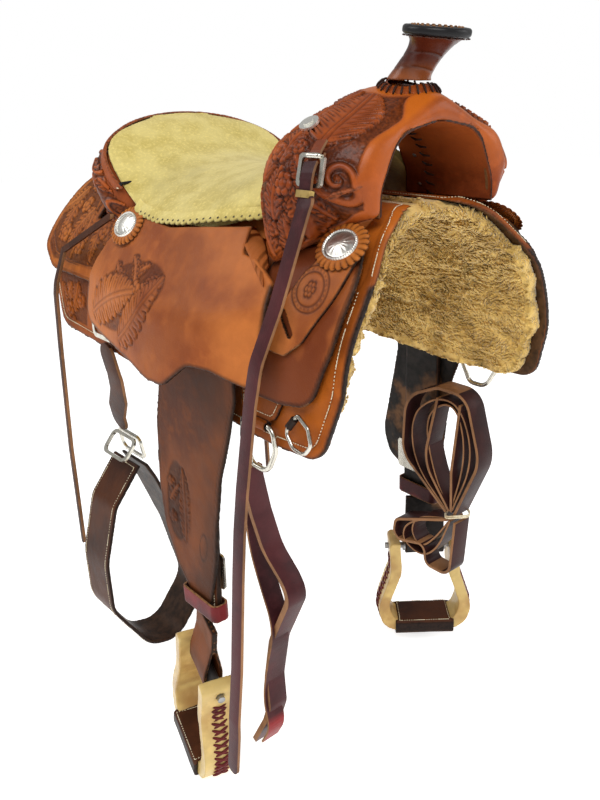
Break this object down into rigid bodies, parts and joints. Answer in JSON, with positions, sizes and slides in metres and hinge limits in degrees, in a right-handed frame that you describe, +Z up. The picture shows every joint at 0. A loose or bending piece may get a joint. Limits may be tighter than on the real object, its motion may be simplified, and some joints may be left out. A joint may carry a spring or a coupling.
{
  "type": "western saddle",
  "caption": "Western stock saddle with swelled fork, horn, rough-out seat, square wool-lined skirts, hanging fenders and stirrups.",
  "frame": {"origin": "middle of the line the saddle rests along on a rack, under the middle of the tree", "axes": "+Z up, -Y toward the horse's head, +X to the rider's left"},
  "size_m": [0.5691, 0.6984, 0.9673],
  "materials": {
    "leather_tan": "oiled golden-brown harness leather, stained darker in places",
    "leather_carved": "carved and antiqued brown leather",
    "leather_seat": "yellow rough-out suede",
    "leather_burgundy": "oiled burgundy latigo leather with raw edges",
    "leather_dark": "dark brown oiled leather",
    "leather_black": "black stitched leather",
    "rawhide": "cream-yellow varnished rawhide",
    "wool": "yellow-tan clipped wool",
    "tree_wood": "rawhide-covered wood",
    "nickel": "nickel plate",
    "silver": "engraved silver plate",
    "steel": "plain steel"
  },
  "bodies": {
    "tree": {"cantle_back": "leather_carved", "cantle_binding": "leather_carved", "conchos": "silver", "fleece_left": "wool", "fleece_right": "wool", "fork_cover": "leather_carved", "fork_screws": "nickel", "front_jockey_left": "leather_tan", "front_jockey_right": "leather_tan", "ground_seat": "steel", "gullet_lining": "leather_dark", "horn_cap": "leather_dark", "horn_core": "steel", "horn_dally_ring": "leather_black", "horn_wrap": "leather_dark", "latigo_keeper_left": "leather_tan", "latigo_keeper_right": "leather_tan", "leather_loops": "leather_tan", "rear_jockey_left": "leather_tan", "rear_jockey_right": "leather_tan", "rear_rigging_dees": "nickel", "rigging_plates": "leather_tan", "rosettes": "leather_carved", "seat_jockey_left": "leather_tan", "seat_jockey_right": "leather_tan", "seat_pad": "leather_seat", "skirt_left": "leather_tan", "skirt_right": "leather_tan", "strap_hanger": "nickel", "tree_bars": "tree_wood", "tree_cantle": "tree_wood", "tree_fork": "tree_wood"},
    "leathers_left": {"stirrup_leather_left": "leather_tan", "fender_left": "leather_tan", "blevins_buckle_left": "nickel", "hobble_strap_left": "leather_burgundy"},
    "stirrup_hanger_left": {"stirrup_loop_left": "leather_tan"},
    "stirrup_left": {"stirrup_frame_left": "rawhide", "stirrup_tread_left": "leather_dark", "stirrup_bolt_left": "nickel"},
    "breast_dee_left": {"breast_dee_left": "nickel"},
    "rigging_dee_left": {"rigging_dee_left": "nickel"},
    "rear_string_left": {"rear_string_left": "leather_burgundy"},
    "leathers_right": {"stirrup_leather_right": "leather_tan", "fender_right": "leather_tan", "blevins_buckle_right": "nickel", "hobble_strap_right": "leather_burgundy"},
    "stirrup_hanger_right": {"stirrup_loop_right": "leather_tan"},
    "stirrup_right": {"stirrup_frame_right": "rawhide", "stirrup_tread_right": "leather_dark", "stirrup_bolt_right": "nickel"},
    "breast_dee_right": {"breast_dee_right": "nickel"},
    "rigging_dee_right": {"rigging_dee_right": "nickel"},
    "rear_string_right": {"rear_string_right": "leather_burgundy"},
    "off_billet": {"off_billet": "leather_burgundy"},
    "latigo": {"latigo": "leather_burgundy"},
    "rear_billet": {"rear_billet": "leather_dark"},
    "rear_cinch": {"rear_cinch": "leather_dark", "cinch_buckles": "nickel"},
    "rope_strap": {"rope_strap": "leather_burgundy"}
  },
  "joints": [
    {"name": "fender_swing_left", "type": "hinge", "parent": "tree", "child": "leathers_left", "pos_m": [0.19, -0.035, 0.03], "axis": [1, 0, 0], "range_deg": [-6.5, 10]},
    {"name": "stirrup_twist_left", "type": "hinge", "parent": "leathers_left", "child": "stirrup_hanger_left", "pos_m": [0.222, -0.02, -0.435], "axis": [0, 0, 1], "range_deg": [-30, 14]},
    {"name": "stirrup_tip_left", "type": "hinge", "parent": "stirrup_hanger_left", "child": "stirrup_left", "pos_m": [0.222, -0.02, -0.525], "axis": [-0.766, 0.6428, 0], "range_deg": [-20, 20]},
    {"name": "breast_dee_lift_left", "type": "hinge", "parent": "tree", "child": "breast_dee_left", "pos_m": [0.19233, -0.199, -0.12606], "axis": [-0.125, -0.6001, 0.7901], "range_deg": [0, 110]},
    {"name": "rigging_dee_lift_left", "type": "hinge", "parent": "tree", "child": "rigging_dee_left", "pos_m": [0.1934, -0.14, -0.142], "axis": [0, -1, 0], "range_deg": [0, 7]},
    {"name": "rear_string_lift_left", "type": "hinge", "parent": "tree", "child": "rear_string_left", "pos_m": [0.172, 0.205, 0.054], "axis": [0, -1, 0], "range_deg": [0, 35]},
    {"name": "fender_swing_right", "type": "hinge", "parent": "tree", "child": "leathers_right", "pos_m": [-0.19, -0.035, 0.03], "axis": [1, 0, 0], "range_deg": [-8, 8]},
    {"name": "stirrup_twist_right", "type": "hinge", "parent": "leathers_right", "child": "stirrup_hanger_right", "pos_m": [-0.212, -0.02363, -0.45137], "axis": [0, 0, 1], "range_deg": [-25, 10]},
    {"name": "stirrup_tip_right", "type": "hinge", "parent": "stirrup_hanger_right", "child": "stirrup_right", "pos_m": [-0.212, -0.008, -0.54], "axis": [0.2588, 0.9513, 0.1677], "range_deg": [-8, 20]},
    {"name": "breast_dee_lift_right", "type": "hinge", "parent": "tree", "child": "breast_dee_right", "pos_m": [-0.19233, -0.199, -0.12606], "axis": [-0.125, 0.6001, -0.7901], "range_deg": [0, 110]},
    {"name": "rigging_dee_lift_right", "type": "hinge", "parent": "tree", "child": "rigging_dee_right", "pos_m": [-0.1934, -0.14, -0.142], "axis": [0, 1, 0], "range_deg": [0, 20]},
    {"name": "rear_string_lift_right", "type": "hinge", "parent": "tree", "child": "rear_string_right", "pos_m": [-0.172, 0.205, 0.054], "axis": [0, 1, 0], "range_deg": [0, 35]},
    {"name": "latigo_hang", "type": "hinge", "parent": "rigging_dee_left", "child": "latigo", "pos_m": [0.1934, -0.14, -0.198], "axis": [0, -1, 0], "range_deg": [-7, 7]},
    {"name": "off_billet_hang", "type": "hinge", "parent": "rigging_dee_right", "child": "off_billet", "pos_m": [-0.1934, -0.14, -0.198], "axis": [0, 1, 0], "range_deg": [-20, 20]},
    {"name": "rear_billet_swing", "type": "hinge", "parent": "tree", "child": "rear_billet", "pos_m": [-0.193, 0.222, -0.118], "axis": [0, 1, 0], "range_deg": [-5, 25]},
    {"name": "rear_cinch_swing", "type": "hinge", "parent": "rear_billet", "child": "rear_cinch", "pos_m": [-0.166, 0.24, -0.292], "axis": [0, 1, 0], "range_deg": [-20, 20]},
    {"name": "rope_strap_lift", "type": "hinge", "parent": "tree", "child": "rope_strap", "pos_m": [-0.156, -0.197, 0.118], "axis": [0, 1, 0], "range_deg": [0, 40]}
  ],
  "couplings": [
    {"joint": "latigo_hang", "follows": "rigging_dee_lift_left", "ratio": -1},
    {"joint": "off_billet_hang", "follows": "rigging_dee_lift_right", "ratio": -1}
  ]
}
